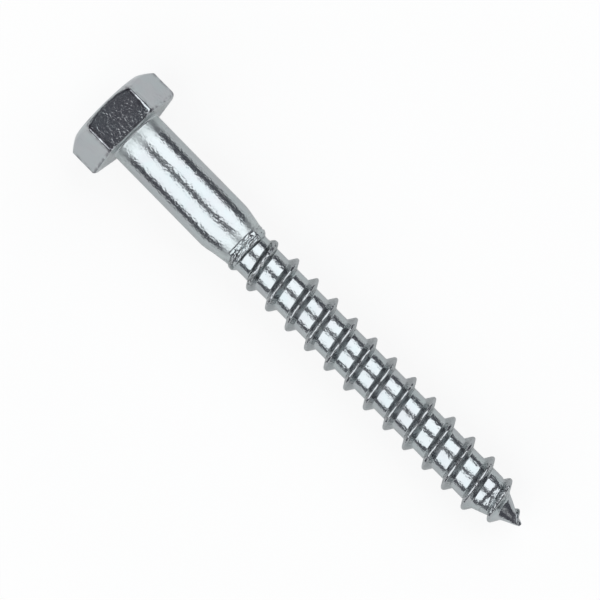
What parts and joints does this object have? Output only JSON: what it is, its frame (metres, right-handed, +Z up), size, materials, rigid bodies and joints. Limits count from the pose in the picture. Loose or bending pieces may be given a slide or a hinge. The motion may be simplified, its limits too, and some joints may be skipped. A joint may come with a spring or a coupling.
{
  "type": "hex lag screw",
  "caption": "Zinc-plated lag screw with a hexagon head, a plain shank and a coarse right-hand wood thread that runs out into a gimlet point.",
  "frame": {"origin": "centre of the head's bearing face, on the screw's axis", "axes": "the screw lies as it rests on a level surface: +Z up, +X from the head towards the point, with the screw's own axis dipping 2.27 degrees below +X in the XZ plane, and +Y level across the screw, out of a corner of the hexagon"},
  "size_m": [0.0764, 0.0148, 0.013],
  "materials": {
    "zinc_plated_steel": "bright zinc plating with a faint blue-green passivation tint, rolled thread, mottled hexagon flats"
  },
  "bodies": {
    "root": {"lag_screw": "zinc_plated_steel"}
  },
  "joints": []
}
